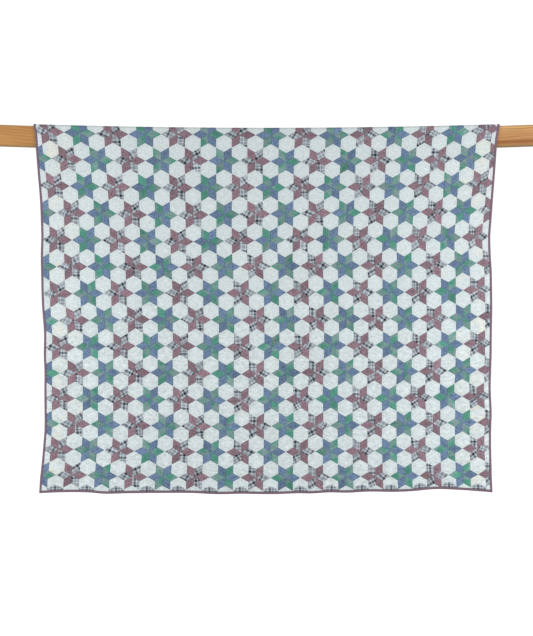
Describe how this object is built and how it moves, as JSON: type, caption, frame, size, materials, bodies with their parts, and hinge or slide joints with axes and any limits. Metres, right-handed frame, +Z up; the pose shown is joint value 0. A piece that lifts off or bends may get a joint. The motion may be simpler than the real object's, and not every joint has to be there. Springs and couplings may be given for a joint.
{
  "type": "patchwork quilt hung over a timber rail",
  "caption": "Pieced quilt of six-pointed stars and white hexagons with a plum binding, draped front and back over a bowed timber rail.",
  "frame": {"origin": "middle of the flat underside of the rail's left seat, seen from the long drop's side", "axes": "+X along the rail from the left seat to the right one, +Z up, the quilt's long front drop on the -Y side"},
  "size_m": [2.44, 0.0691, 1.5717],
  "materials": {
    "pieced_cotton": "matte pieced cotton, hand quilted",
    "binding_cotton": "matte plum cotton binding",
    "rail_timber": "planed softwood, oiled, satin"
  },
  "bodies": {
    "root": {"rail": "rail_timber", "quilt": "pieced_cotton", "binding_left": "binding_cotton", "binding_right": "binding_cotton", "binding_front_hem": "binding_cotton", "binding_back_hem": "binding_cotton"}
  },
  "joints": []
}
